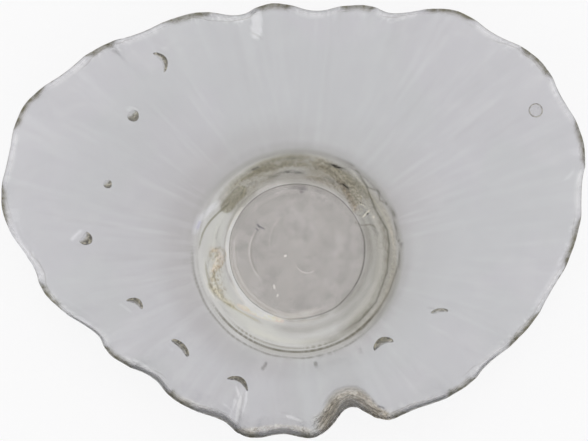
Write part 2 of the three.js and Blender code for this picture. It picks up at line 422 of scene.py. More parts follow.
def shapeBowl(mesh):
    shape = bowlShape
    push, fill, kinks = shape["shoulderPush"], shape["cornerFill"], shape["kinks"]
    thin, trough, crest = shape["rimThinning"], shape["troughDrop"], shape["crestDroop"]
    normals = [vert.normal.copy() for vert in mesh.vertices]
    places, waves = readValues(mesh, "sectionPlace"), readValues(mesh, "crestWave")
    for vert, normal, place, wave in zip(mesh.vertices, normals, places, waves):
        up, row, outside = upWallAt(place), mirrored(place), place > section["rimTop"]
        if row < 0.5:
            continue
        point = vert.co.copy()
        bearing, way = bearingOf(point), Vector((point.x, point.y, 0)).normalized()
        lift = surfaceLift(point, way, bearing, up, row)
        point += normal * (lift if outside else lift * shape["innerShare"])
        if outside:
            # more glass under the shoulder
            near = nearTurn(bearing, push["leastAt"], push["spread"], 0)
            depth = push["depth"] + (push["least"] - push["depth"]) * near
            depth += push["uneven"] * noise.noise(way * 3.1)
            point += way * depth * reached("shoulderPush", row)
            for kink in kinks["bearings"]:
                near = max(0, 1 - turnBetween(bearing, kink) / kinks["reach"])
                point += way * kinks["depth"] * near * reached("kinks", row)
        else:
            # the floor's corner isn't a true circle
            wander = shape["cornerWander"] * noise.noise(way * 2.2)
            point += way * wander * reached("cornerWander", row)
            near = nearTurn(bearing, fill["bearing"], fill["spread"], 0)
            point.z += fill["height"] * near * reached("cornerFill", row)
        # less glass at the rim, whose crests turn down, and a shoulder off the floor's middle
        point.z += thin["depth"] * smooth(thin["from"], 1.0, up) * smooth(0, 2, place - section["rimTop"])
        point.z -= trough["depth"] * max(0, -wave) * smooth(trough["from"], 1.0, up)
        point.z -= crest["depth"] * max(0, wave) ** 1.3 * smooth(crest["from"], 1.0, up) ** 2
        point.y += shape["shoulderShift"] * reached("shoulderShift", row)
        vert.co = point


def photoPlace(point):
    # where the camera sees a point, in the photograph's pixels
    scale = cameraSetup["frameWidth"] * cameraSetup["focalLength"] / cameraSetup["sensorWidth"]
    scale /= cameraSetup["height"] - point.z
    across = cameraSetup["frameWidth"] / 2 + (point.x - cameraSetup["x"]) * scale
    down = cameraSetup["frameHeight"] / 2 - (point.y - cameraSetup["y"]) * scale
    return Vector((across, down, 0))


# What the glass reads along the rim and between floor and wall. The widths are measured in from the
# rim's outline, nearRim is a share of the way up the wall, floorEnds and wallStarts are rows.
rimLook = {
    # crestWidth and troughWidth: how far the painted dark of the turned-down edge reaches in
    "crestWidth": 4.2 * mm,
    "troughWidth": 0.7 * mm,
    "uneven": {"share": 0.25, "size": 9 * mm},
    # glint: where the band of painted highlight lies inside the rim
    "glint": (0.6 * mm, 1.6 * mm, 2.6 * mm, 6.0 * mm),
    "nearRim": (0.8, 0.9),
    "floorEnds": (1.4, 2.3),
    "wallStarts": (4.2, 6.2),
    "worn": (1.5 * mm, 4.5 * mm),
    "readAs": 12 * mm,
    # bright: bearings where the painted dark edge narrows and the painted highlight runs along the rim
    "bright": {"bearings": (178.5, 197.5), "reach": 6.0, "full": 0.6, "narrows": 0.9},
    # crinkled: where the fold's painted crinkled shade and highlight start
    "crinkled": {"from": 0.77, "later": 0.12, "laterFrom": 290, "laterTo": 298, "fade": 0.08, "outside": 0.1},
}


def arc(radius, start, end, width, tint, middle=(297.5, 254), **more):
    # part of a circle, round the base's middle unless another one is given
    return {"arc": (*middle, radius, start, end), "width": width, "tint": tint, **more}


def stroke(width, tint, *corners, **more):
    return {"path": corners, "width": width, "tint": tint, **more}


# Marks drawn on the glass, each where the photograph's frame shows it: mostly painted shade,
# painted highlights and painted reflections, the darker ones partly in the glass's olive or
# brown tone. Radius, corners and width are in its pixels and bearings in degrees. The tint
# brightens or darkens, as one number or by colour. hard is the share of the width that is full,
# broken leaves gaps (how much, and their size in mm), grainy asks for fine grain, lift raises the
# glass (mm) and kinked keeps corners.
# Round the base: painted shade, painted highlights and painted reflections in the thick well glass
wellMarks = {
    "ringShade": arc(87, -56, 116, 41, (0.62, 0.61, 0.57), hard=0.55),
    "upperLeftShade": arc(87, 104, 148, 28, (0.62, 0.6, 0.52), hard=0.3, grainy=0.35, broken=(0.2, 3)),
    "topOuter": arc(97, 84, 142, 14, (0.66, 0.65, 0.57), broken=(0.2, 3)),
    "shoulderShade": arc(103.5, -62, 156, 9, (0.6, 0.59, 0.56), hard=0.3),
    "shoulderHalo": arc(109, -50, 190, 15, (0.82, 0.81, 0.8)),
    "lowerShade": arc(99.5, 238, 336, 10, (0.72, 0.71, 0.67), hard=0.3),
    "underDisc": arc(76, 252, 318, 17, (0.68, 0.67, 0.645)),
    "upperRightInner": arc(78, 34, 84, 15, (0.66, 0.62, 0.53), grainy=0.7, broken=(0.45, 1.6)),
    "upperLeftInner": arc(78, 122, 147, 17, (0.6, 0.58, 0.5), broken=(0.25, 2)),
    "discGlow": arc(66.5, 186, 264, 8, (1.42, 1.41, 1.37), middle=(297, 251), hard=0.2),
    "lowLight": stroke(
        8, (1.55, 1.53, 1.46), (231, 282), (244, 301), (262, 315), (280, 318), (299, 316), (318, 310),
        hard=0.2,
    ),
    # painted shade at the top of the ring, olive-toned like the thick glass
    "topOliveShade": arc(92, 34, 128, 20, (0.48, 0.45, 0.35), grainy=0.45, broken=(0.3, 3)),
    "topOliveShadeEdge": arc(98, 76, 118, 8, (0.8, 0.77, 0.66), broken=(0.2, 2)),
    "topFloor": arc(76, 58, 130, 20, (0.74, 0.71, 0.67), middle=(297.5, 252)),
    "rightGrey": arc(89.5, -60, 64, 14, (0.58, 0.565, 0.5), grainy=0.3, broken=(0.35, 4)),
    "rightGreyInner": arc(84, -58, 30, 12, (1.1, 1.09, 1.05)),
    "lowerRight": arc(90, -88, -40, 18, (0.76, 0.75, 0.71)),
    "rightBand": arc(97, -60, 40, 9, (0.76, 0.72, 0.65), grainy=0.35),
    # painted shade lines and a painted highlight along the facets outside the well
    "innerFacets": stroke(
        3.4, (0.22, 0.21, 0.17), (357, 174), (366, 185), (375, 209), (387, 230), (389, 244), (387, 272),
        (376, 302), (360, 320), (342, 332), lift=-0.2, kinked=True,
    ),
    "outerFacets": stroke(
        3.2, (0.28, 0.265, 0.22), (336, 158), (352, 165), (360, 175), (367, 187), (378, 191), (380, 200),
        (388, 205), (394, 214), (397, 239), (401, 244), (398, 266), (390, 290), (378, 311), (360, 332),
        (342, 344), kinked=True,
    ),
    "facetLight": stroke(
        4, (1.35, 1.33, 1.26), (352, 170), (368, 192), (382, 212), (391, 232), (394, 246), kinked=True,
    ),
    "discShade": arc(71, -58, 28, 12, (0.5, 0.49, 0.45), middle=(297.5, 252)),
    "rightBandInner": arc(93.5, -32, 62, 7, (0.72, 0.71, 0.66)),
    "rightInner": arc(80, -22, 26, 13, (0.82, 0.81, 0.77)),
    "lowerRightSpot": arc(93, 288, 312, 10, (0.62, 0.61, 0.57)),
    "discBesideLow": arc(68, 262, 352, 8, (0.86, 0.855, 0.83)),
    "rightOfDisc": arc(85, 28, 84, 12, (0.84, 0.82, 0.76)),
    "lowerRightOuter": arc(99, 332, 356, 12, (0.74, 0.73, 0.68)),
    "discUnder": arc(67, 260, 294, 8, (0.86, 0.85, 0.82)),
    "besideDiscRight": arc(74, -10, 64, 9, (0.8, 0.79, 0.75), broken=(0.3, 2.4)),
    "besideDiscLeft": arc(74, 126, 162, 9, (0.66, 0.65, 0.59)),
    "innerFloorTop": arc(61, 82, 128, 13, (0.87, 0.865, 0.86)),
    "rightOuterShade": arc(90, -8, 24, 10, (0.84, 0.83, 0.8)),
    "leftOuterLight": arc(93, 182, 208, 7, (1.22, 1.23, 1.18)),
    "topLightSpot": arc(84, 96, 114, 10, (1.22, 1.2, 1.16), broken=(0.4, 2)),
    "topSpot": arc(84, 66, 84, 10, (0.8, 0.77, 0.69), broken=(0.3, 1.8)),
    # the jagged patches: painted brownish and olive shade with grain
    "jaggedEdge": stroke(
        8, (0.6, 0.56, 0.49), (312, 166), (329, 170), (343, 185), (351, 201), (355, 212), hard=0.5,
        grainy=0.9, lift=0.12, broken=(0.5, 1.8),
    ),
    "jaggedWide": stroke(
        16, (0.84, 0.82, 0.74), (318, 161), (335, 170), (349, 184), (359, 201), hard=0.3, grainy=0.8,
    ),
    "jaggedBrownShade": stroke(
        9, (0.66, 0.55, 0.48), (340, 182), (349, 195), (357, 211), grainy=1, broken=(0.6, 1.3),
    ),
    "jaggedTop": stroke(
        9, (0.6, 0.57, 0.45), (228, 192), (240, 180), (262, 170), (290, 164), (314, 167), grainy=0.6,
        lift=0.15, broken=(0.5, 1.8),
    ),
    "lowerLine": arc(97.5, 206, 330, 3.6, (0.14, 0.13, 0.09), middle=(297, 254.5), hard=0.4),
    "lowerLineTwin": arc(93.8, 222, 300, 2.8, (0.3, 0.285, 0.22), middle=(297, 254.5), hard=0.3),
    "outerLine": arc(104.5, 168, 330, 3, (0.28, 0.27, 0.235), hard=0.3),
    "leftLines": arc(100.5, 150, 232, 2.8, (0.34, 0.33, 0.27), broken=(0.3, 9)),
    "leftBright": arc(84, 146, 262, 26, (1.1, 1.11, 1.05)),
    "lowBright": arc(88, 236, 286, 10, (1.1, 1.1, 1.03)),
    # a painted blue and violet highlight at the well's left, painted olive shade beside it and a painted
    # highlight on a diamond-shaped edge
    "blueGlint": stroke(9, (1.34, 1.36, 1.46), (195, 233), (199, 221), (207, 212), (219, 202), hard=0.3),
    "violetHighlight": stroke(5, (0.72, 0.7, 0.96), (197, 229), (200, 221)),
    "oliveShadeLine": stroke(
        3.2, (0.34, 0.33, 0.24), (199, 249), (202, 234), (209, 222), (219, 212), (230, 203), hard=0.3,
    ),
    "oliveShadePatch": stroke(15, (0.5, 0.485, 0.4), (226, 208), (232, 200), (242, 190), hard=0.7, grainy=0.5),
    "diamondHighlight": stroke(2.6, (1.5, 1.5, 1.4), (237, 184), (245, 189), (241, 199), lift=0.3, kinked=True),
    # the swirl and the ribs: painted reflections in pink and brown with lighter and darker painted lines, and
    # painted olive shade under them
    "swirlOuter": stroke(
        6, (0.52, 0.46, 0.34), (208, 262), (211, 251), (219, 247), (226, 252), (224, 262), (216, 270),
        (210, 280), (213, 289), lift=0.25, broken=(0.6, 1.3),
    ),
    "swirlSpeckle": stroke(
        19, (0.72, 0.66, 0.54), (213, 250), (219, 264), (213, 278), (222, 293), grainy=1,
        broken=(0.7, 2.2),
    ),
    "swirlPinkReflection": stroke(
        7, (1.45, 1.22, 1.1), (211, 250), (220, 251), (223, 262), (215, 270), broken=(0.6, 1.3),
    ),
    "leftRibOne": stroke(2.6, (1.6, 1.57, 1.48), (209, 266), (212, 283), (221, 299), hard=0.3),
    "leftRibTwo": stroke(2.6, (0.55, 0.53, 0.45), (205, 261), (208, 281), (216, 298), hard=0.3),
    "leftRibThree": stroke(2.4, (0.6, 0.57, 0.46), (213, 268), (216, 284), (225, 299), hard=0.3),
    "swirlInner": stroke(
        5.5, (1.6, 1.34, 1.2), (212, 272), (216, 262), (219, 256), lift=-0.2, broken=(0.3, 1.6),
    ),
    "swirlTail": stroke(10, (0.74, 0.69, 0.55), (209, 284), (220, 297), (236, 308), grainy=0.9),
    "swirlLines": stroke(2.2, (1.4, 1.38, 1.3), (203, 272), (207, 288), (217, 301), lift=0.2),
    "pinkReflectionStreak": stroke(
        5.5, (2, 1.36, 1.08), (238, 305), (252, 312), (266, 317), (283, 321), hard=0.5, grainy=0.5,
        lift=0.2, broken=(0.2, 1.4),
    ),
    "oliveShadeUnder": stroke(3.6, (0.66, 0.62, 0.44), (222, 300), (240, 312), (262, 323)),
    "discLight": arc(68.6, 142, 250, 4.2, (2.2, 2.16, 2.05), middle=(296, 250.5), hard=0.5),
    "discTop": arc(68, 44, 150, 4.6, (1.04, 1.03, 1.01), middle=(296, 250.5), hard=0.4),
    "discLine": arc(72.8, 108, 222, 2.2, (0.5, 0.49, 0.44), middle=(297, 251)),
    "discDark": arc(68.5, -70, 28, 3.2, (0.32, 0.31, 0.27), middle=(296.5, 251), hard=0.3),
    "discLow": arc(75.5, 226, 262, 7, (1.28, 1.27, 1.22), middle=(297, 250)),
    "discLowLine": arc(70, 228, 300, 2.2, (0.5, 0.49, 0.42), middle=(297, 250)),
    # bubbles in the glass, drawn as painted highlights and painted shade
    "bubbleArc": arc(6, 10, 200, 2.4, (2.5, 2.4, 2.1), middle=(360, 209.6), lift=0.5),
    "bubbleShade": arc(6, 205, 360, 2.4, (0.38, 0.36, 0.28), middle=(360, 209.6), lift=-0.3),
    "bubbleMiddle": arc(3, 30, 170, 2, (1.7, 1.62, 1.45), middle=(360, 212)),
    "bubbleBar": stroke(3, (2.5, 2.4, 2.1), (363, 217), (370, 210), lift=0.5),
    "bubbleSpot": stroke(3.6, (2.1, 2, 1.8), (373, 216), (374, 218)),
    "bubbleTail": stroke(2.6, (0.4, 0.38, 0.3), (354, 221), (361, 226), (371, 224), (376, 228)),
    "brightDot": stroke(3, (1.8, 1.75, 1.6), (360, 196), (362, 197)),
    "smallRing": arc(3, 0, 360, 1.8, (0.5, 0.49, 0.44), middle=(380.6, 245.3)),
    "smallDot": stroke(2.6, (0.36, 0.35, 0.3), (377.5, 240.6), (378.5, 241.4)),
}

# On the wall: painted highlights, glints and shade, besides a few darker specks and strokes
wallMarks = {
    "leftShade": stroke(190, (0.94, 0.935, 0.93), (172, 150), (140, 215), (165, 285)),
    "nearBaseShade": arc(122, 84, 262, 46, (0.9, 0.885, 0.88)),
    # the fan: painted highlights on a sharp crease, with a painted darker line
    "fanBright": stroke(
        14, (1.3, 1.3, 1.29), (243, 388), (240, 402), (237, 414), (235, 424), broken=(0.5, 1.6),
    ),
    "fanCore": stroke(3.4, (1.55, 1.55, 1.54), (241, 396), (238, 409), (236, 423), hard=0.4),
    "fanRight": stroke(3.4, 1.42, (247, 389), (246, 402), (242, 416), hard=0.4),
    "fanLeft": stroke(3.2, (1.36, 1.36, 1.35), (236, 398), (232, 411), (229, 421), hard=0.4),
    "fanFar": stroke(3, 1.28, (224, 404), (228, 407), (231, 410), hard=0.3),
    "fanDark": stroke(
        2.6, (0.66, 0.65, 0.62), (244, 394), (242, 404), (240, 414), (239, 422), broken=(0.5, 1.2),
    ),
    # a painted highlight stroke and a darker stroke beside it
    "whiteStroke": stroke(3.6, (1.52, 1.52, 1.5), (286, 416), (294, 418), (301, 421), hard=0.5),
    "darkStroke": stroke(3, (0.82, 0.81, 0.79), (280, 412), (289, 414)),
    # a painted highlight near the top of the rim, with a painted darker edge
    "topPatch": stroke(
        12, (1.56, 1.56, 1.55), (257, 14), (257, 24), (256, 35), hard=0.75, broken=(0.15, 3),
    ),
    "topPatchEdge": stroke(3, (0.78, 0.77, 0.75), (251, 31), (256, 35), (262, 39), hard=0.3),
    # a painted glint beside a darker stroke, and faint lighter and darker painted stripes below the rim
    "leftStroke": stroke(5.5, (0.72, 0.71, 0.7), (108, 45), (113, 49), (117, 53), hard=0.5),
    "besideStroke": stroke(3, 1.3, (113, 44), (118, 48), (121, 51), hard=0.3),
    "stripeOne": stroke(3, 1.08, (335, 9), (334, 26)),
    "stripeTwo": stroke(3, (0.92, 0.92, 0.9), (340, 8), (340, 26)),
    # painted highlights near the right rim, and two lighter strokes
    "cornerMark": stroke(4.6, 1.2, (566, 179), (570, 176), (574, 171), hard=0.3),
    "cornerLine": stroke(3, 1.2, (579, 153), (582, 160), (583, 167)),
    "lighterStrokeOne": stroke(3, 1.26, (555, 266), (560, 264), (564, 261), hard=0.3),
    "lighterStrokeTwo": stroke(3, 1.26, (558, 261), (562, 257), hard=0.3),
    # a soft darker spot
    "softDarkSpot": stroke(6, (0.72, 0.71, 0.69), (360, 347), (361, 353)),
    "speck": stroke(3.8, (0.34, 0.33, 0.31), (262, 369), (265, 366), (266, 363), hard=0.4),
    "tearSpeck": stroke(4.2, (0.34, 0.33, 0.31), (315.5, 362), (316, 367), hard=0.4),
    # painted highlights along the inside of the rim's lower-left edge, and painted rays fanning from them
    "lowLeftBand": stroke(
        5, (1.38, 1.39, 1.41), (46, 297), (58, 305), (74, 314), (92, 326), broken=(0.3, 5),
    ),
    "leftBand": stroke(5, (1.36, 1.37, 1.39), (13, 224), (19, 240), (27, 252), (34, 264), broken=(0.3, 5)),
    "fanRayOne": stroke(2.6, (1.08, 1.08, 1.09), (58, 296), (76, 306), (96, 318)),
    "fanRayTwo": stroke(2.6, (1.1, 1.1, 1.11), (18, 225), (26, 238), (38, 252)),
    "upRightShade": stroke(4, (0.86, 0.86, 0.83), (452, 14), (466, 22), (476, 28), broken=(0.4, 2.5)),
    # painted highlights and shade beside the drops, and painted light over the first drop
    "besideDropTwo": stroke(2.4, (1.3, 1.3, 1.28), (158, 45), (168, 50), (173, 59)),
    "aboveDropThree": stroke(2.6, (1.35, 1.35, 1.33), (127, 110), (132, 107), (139, 111)),
    "besideDropFive": stroke(4.2, 1.45, (72, 239), (76, 234), (82, 231), hard=0.3),
    "belowDropFive": stroke(2.4, (0.6, 0.58, 0.5), (79, 245), (90, 246)),
    "belowDropSix": stroke(3, 1.35, (121, 304), (127, 308), (131, 312), broken=(0.4, 1.5)),
    "belowDropSeven": stroke(2.6, 1.3, (165, 344), (173, 350), broken=(0.4, 1.5)),
    "underDropEight": stroke(3.4, 1.45, (236, 386), (239, 396), hard=0.3),
    "kneeDropNine": stroke(3.4, (1.3, 1.25, 1.2), (374, 349), (383, 343), (391, 341), hard=0.3),
    "lineDropTen": stroke(2.2, (0.66, 0.65, 0.62), (440, 309), (451, 312)),
    "hookDropTen": stroke(2.6, (0.5, 0.49, 0.45), (431, 307), (434, 310), (433, 313)),
    "lightDropOne": stroke(15, 1.22, (535.2, 111.6), (536.2, 111.6), hard=0.85),
    # painted bright flecks of light along the rim, and a painted light band at the lower right
    "rimFlecksLeft": stroke(
        8, (1.55, 1.54, 1.52), (126, 358), (138, 364), (150, 371), (158, 378), (166, 387), (173, 393),
        hard=0.4, broken=(0.75, 2.2),
    ),
    "rimFlecksLow": stroke(
        7, (1.5, 1.47, 1.4), (176, 396), (192, 403), (208, 410), (222, 420), (234, 430), hard=0.4,
        grainy=0.3, broken=(0.5, 2),
    ),
    "rimFlecksBottom": stroke(
        8, (1.5, 1.42, 1.28), (240, 431), (256, 430), (275, 427), (293, 428), (312, 431), hard=0.4,
        grainy=0.8, broken=(0.5, 1.8),
    ),
    "lowRight": stroke(5, 1.12, (560, 262), (548, 284), (534, 305), broken=(0.4, 5)),
}

# the fold: a painted brownish shade band with a darker painted edge, a painted light patch and painted light
# streaks
foldMarks = {
    "band": stroke(
        15, (0.84, 0.79, 0.71), (323, 428), (329, 418), (334, 408), (340, 401), (347, 397.5), (356, 397),
        (364, 402), (370, 409), (378, 415.5), (387, 418), hard=0.7, grainy=0.6,
    ),
    "bandEdge": stroke(
        5, (0.6, 0.58, 0.54), (325, 408), (331, 399), (338, 393), (347, 390), (357, 390), (365, 395),
        (371, 402),
    ),
    "lightPatch": stroke(8, (1.9, 1.95, 2.05), (341, 401), (347, 397.5), (354, 396.5), hard=0.4),
    "streakOne": stroke(3, 1.6, (366, 397), (372, 405), (378, 413), broken=(0.3, 2)),
    "streakTwo": stroke(2.6, 1.5, (361, 398), (366, 406), (373, 412), broken=(0.4, 1.5)),
}


def markPoints(mark):
    if "arc" in mark:
        x, y, radius, start, end = mark["arc"]
        count = max(2, int(radius * math.radians(abs(end - start)) / 2))
        turns = [math.radians(start + (end - start) * n / count) for n in range(count + 1)]
        return [Vector((x + radius * math.cos(t), y - radius * math.sin(t), 0)) for t in turns]
    corners = [Vector((x, y, 0)) for x, y in mark["path"]]
    for _ in range(0 if mark.get("kinked") or len(corners) < 3 else 2):
        cut = [corners[0]]
        for here, after in zip(corners, corners[1:]):
            cut += [here.lerp(after, 0.25), here.lerp(after, 0.75)]
        corners = cut + [corners[-1]]
    points = []
    for here, after in zip(corners, corners[1:]):
        count = max(1, int((after - here).length / max(0.8, mark["width"] / 5)))
        points += [here.lerp(after, n / count) for n in range(count)]
    return points + [corners[-1]]


def drawMark(mark, seen, spots, tints, lifts, grains):
    # seen finds the vertices near a pixel, spots holds their places and the rest what is drawn
    points, half, touched = markPoints(mark), mark["width"] / 2, {}
    closed = (points[0] - points[-1]).length < 0.5
    total = len(points) - 1
    for n, point in enumerate(points):
        taper = 1.0 if closed else smooth(-0.12, 0.16, n / total) * smooth(-0.12, 0.16, 1 - n / total)
        reach = max(1.0, half * (0.4 + 0.6 * taper))
        for _, index, away in seen.find_range(point, reach):
            strength = taper * (1 - smooth(mark.get("hard", 0) * reach, reach, away))
            touched[index] = max(strength, touched.get(index, 0))
    tint = Vector(mark["tint"] if isinstance(mark["tint"], tuple) else [mark["tint"]] * 3)
    gaps, gapSize = mark.get("broken", (0, 1))
    for index, strength in touched.items():
        strength *= 1 - gaps * smooth(-0.25, 0.25, noise.noise(spots[index] / (gapSize * mm)))
        change = Vector((1, 1, 1)).lerp(tint, strength)
        tints[index] = Vector(old * new for old, new in zip(tints[index], change))
        lifts[index] += mark.get("lift", 0) * mm * strength
        grains[index] = max(grains[index], mark.get("grainy", 0) * strength)


def rimReach(mesh, places):
    # how far the rim's outermost rows stand from the axis, in steps of half a degree
    reach = [0.0] * 720
    for vert, place in zip(mesh.vertices, places):
        if abs(place - section["rimTop"] - 0.4) < 1.2:
            step = int(bearingOf(vert.co) * 2) % 720
            reach[step] = max(reach[step], axisDistance(vert.co))
    for step in range(720):
        if reach[step] == 0:
            reach[step] = reach[step - 1]
    return [sum(reach[(step + k) % 720] for k in (-1, 0, 1)) / 3 for step in range(720)]


def glassMasks(spot, place, wave, reach):
    # what the body's glass reads at one vertex
    fold, bright, crinkle, worn = bowlShape["fold"], rimLook["bright"], rimLook["crinkled"], rimLook["worn"]
    bearing, up, row = bearingOf(spot), upWallAt(place), mirrored(place)
    gap = reach[int(bearing * 2) % 720] - axisDistance(spot)
    light = max(nearTurn(bearing, middle, bright["reach"], bright["full"]) for middle in bright["bearings"])
    # the width of the painted dark along the turned-down edge
    width = rimLook["troughWidth"] + rimLook["crestWidth"] * smooth(-0.1, 0.8, wave)
    width *= 1 + rimLook["uneven"]["share"] * noise.noise(spot / rimLook["uneven"]["size"])
    width *= 1 - bright["narrows"] * light
    start = crinkle["from"] + crinkle["later"] * smooth(crinkle["laterFrom"], crinkle["laterTo"], bearing)
    crinkled = nearTurn(bearing, fold["bearing"], fold["halfWidth"], 0.75)
    crinkled *= smooth(start, start + crinkle["fade"], up)
    nearRim = smooth(*rimLook["nearRim"], up)
    if place > section["rimTop"] + 1:
        softRim = max((1 - smooth(*worn, gap)) * nearRim, crinkled)
    else:
        turned = crinkled * (1 - smooth(1.0 * mm, worn[1], gap))
        softRim = max((1 - smooth(*worn, gap)) * nearRim * (1 - crinkled), 0.8 * turned)
    # inTrough places the painted highlight between the crests and where the rim is bright
    inTrough = max(smooth(0.2, -0.4, wave), light) * bump(*rimLook["glint"], gap)
    return {
        "upWall": up,
        "onWall": smooth(*rimLook["wallStarts"], row),
        "onFloor": 1 - smooth(*rimLook["floorEnds"], row),
        "turnedEdge": (1 - smooth(0.15 * width, width, gap)) * nearRim * (1 - crinkled),
        "inFold": crinkled if place < section["rimOutside"] else crinkle["outside"] * crinkled,
        "softRim": softRim,
        "rimGlint": inTrough if place <= section["rimTop"] else 0.0,
        "rimGap": min(gap / rimLook["readAs"], 1.0) if place <= section["rimTop"] + 0.5 else 1.0,
    }


def paintBowl(mesh):
    # masks and tints that the glass reads from the mesh; the tints carry the marks' painted shade,
    # highlights and reflections
    places, waves = readValues(mesh, "sectionPlace"), readValues(mesh, "crestWave")
    spots = [vert.co.copy() for vert in mesh.vertices]
    reach = rimReach(mesh, places)
    masks = [glassMasks(spot, place, wave, reach) for spot, place, wave in zip(spots, places, waves)]
    for name in masks[0]:
        writeValues(mesh, name, [mask[name] for mask in masks])
    upper, whole = KDTree(len(spots)), KDTree(len(spots))
    for index, place in enumerate(places):
        if place <= section["rimTop"] + 0.5:
            upper.insert(photoPlace(spots[index]), index)
        whole.insert(photoPlace(spots[index]), index)
    upper.balance()
    whole.balance()
    tints = [Vector((1, 1, 1)) for _ in spots]
    lifts, grains = [0.0] * len(spots), [0.0] * len(spots)
    for marks, seen in ((wellMarks, upper), (wallMarks, upper), (foldMarks, whole)):
        for mark in marks.values():
            drawMark(mark, seen, spots, tints, lifts, grains)
    writeValues(mesh, "grainShare", grains)
    flat = [channel for tint in tints for channel in tint]
    mesh.attributes.new("tintAndPaintedLight", "FLOAT_VECTOR", "POINT").data.foreach_set("vector", flat)
    normals = [vert.normal.copy() for vert in mesh.vertices]
    for vert, normal, lift in zip(mesh.vertices, normals, lifts):
        vert.co += normal * lift


def newGroup(name, output, **inputs):
    # a group with one output, and an input for each number or vector given
    group = bpy.data.node_groups.new(name, "ShaderNodeTree")
    for label, value in inputs.items():
        kind = "NodeSocketVector" if isinstance(value, tuple) else "NodeSocketFloat"
        group.interface.new_socket(label, in_out="INPUT", socket_type=kind).default_value = value
    group.interface.new_socket(output, in_out="OUTPUT", socket_type="NodeSocketFloat")
    return group, group.nodes.new("NodeGroupInput").outputs, addNode(group, "TexCoord").outputs["Object"]


def endGroup(group, result):
    leave = group.nodes.new("NodeGroupOutput")
    group.links.new(result, leave.inputs[0])
    arrangeNodes(group, leave)
    return group


def useGroup(tree, group, **values):
    return addNode(tree, "Group", values, node_tree=group).outputs[0]


def makeStreakGroup():
    # faint streaks that run up the wall, as the glass was drawn out; they also place the wall's painted
    # sheen and shade and the rim's painted fan of light
    group, entry, where = newGroup("drawnStreaksAndSheen", "Mask", Count=20.0, Length=3.0, Low=0.45, High=0.8)
    flat = vectorNode(group, "MULTIPLY", where, (1, 1, 0))
    sockets = {0: vectorNode(group, "NORMALIZE", flat), "Scale": entry["Count"]}
    around = addNode(group, "VectorMath", sockets, operation="SCALE").outputs[0]
    along = product(group, vectorNode(group, "LENGTH", flat), 10.0, entry["Length"])
    lift = addNode(group, "CombineXYZ", {"Z": along}).outputs[0]
    grain = noiseNode(group, vectorNode(group, "ADD", around, lift), 1.0, 3.0)
    return endGroup(group, stepNode(group, grain, entry["Low"], entry["High"]))


def makeMottleGroup():
    # soft cloudy patches
    group, entry, where = newGroup("cloudiness", "Mask", Scale=40.0, Detail=4.0, Low=0.4, High=0.7)
    grain = noiseNode(group, where, entry["Scale"], entry["Detail"], 0.6)
    return endGroup(group, stepNode(group, grain, entry["Low"], entry["High"]))


def makePatchGroup():
    # one soft-edged patch of a given place, size and turn, with a ragged outline
    group, entry, where = newGroup(
        "glassPatch", "Mask", Place=(0, 0, 0), Turn=0.0, Size=(0.01, 0.01, 1), Soft=0.5, Ragged=0.3,
        Grain=300.0,
    )
    flat = vectorNode(group, "MULTIPLY", where, (1, 1, 0))
    sockets = {"Vector": vectorNode(group, "SUBTRACT", flat, entry["Place"]), "Angle": entry["Turn"]}
    turned = addNode(group, "VectorRotate", sockets, rotation_type="Z_AXIS").outputs[0]
    far = vectorNode(group, "LENGTH", vectorNode(group, "DIVIDE", turned, entry["Size"]))
    rough = mathNode(group, "SUBTRACT", noiseNode(group, where, entry["Grain"], 3.0), 0.5)
    edge = mathNode(group, "ADD", far, product(group, rough, entry["Ragged"]))
    start = mathNode(group, "SUBTRACT", 1.0, entry["Soft"])
    return endGroup(group, stepNode(group, edge, start, 1.0, 1.0, 0.0))


def makeRippleGroup():
    # fine waviness of a surface that cooled in the air
    group, entry, where = newGroup("coolingRipple", "Height", Scale=60.0, Fine=0.3)
    broad = noiseNode(group, where, entry["Scale"], 1.5)
    fine = noiseNode(group, where, product(group, entry["Scale"], 5.0), 2.0)
    return endGroup(group, mathNode(group, "ADD", broad, product(group, fine, entry["Fine"])))


def makeArcGroup():
    # a soft line along part of a circle
    group, entry, where = newGroup(
        "glassArc", "Mask", Centre=(0, 0, 0), Radius=0.03, Width=0.001, Middle=0.0, Reach=1.0
    )
    flat = vectorNode(group, "MULTIPLY", where, (1, 1, 0))
    moved = vectorNode(group, "SUBTRACT", flat, entry["Centre"])
    sockets = {"Vector": moved, "Angle": product(group, entry["Middle"], -1.0)}
    turned = addNode(group, "VectorRotate", sockets, rotation_type="Z_AXIS").outputs[0]
    split = addNode(group, "SeparateXYZ", {0: turned}).outputs
    bearing = mathNode(group, "ABSOLUTE", mathNode(group, "ARCTAN2", split["Y"], split["X"]))
    ends = stepNode(group, mathNode(group, "DIVIDE", bearing, entry["Reach"]), 0.4, 1.0, 1.0, 0.0)
    away = mathNode(group, "SUBTRACT", vectorNode(group, "LENGTH", moved), entry["Radius"])
    away = mathNode(group, "DIVIDE", mathNode(group, "ABSOLUTE", away), entry["Width"])
    return endGroup(group, product(group, stepNode(group, away, 0.1, 0.6, 1.0, 0.0), ends))


streakGroup = makeStreakGroup()
arcGroup = makeArcGroup()
mottleGroup = makeMottleGroup()
patchGroup = makePatchGroup()
rippleGroup = makeRippleGroup()


def streaks(tree, name):
    count, length, low, high = drawnStreaksAndSheen[name]
    return useGroup(tree, streakGroup, Count=count, Length=length, Low=low, High=high)


def mottle(tree, name):
    scale, detail, low, high = cloudiness[name]
    return useGroup(tree, mottleGroup, Scale=scale, Detail=detail, Low=low, High=high)


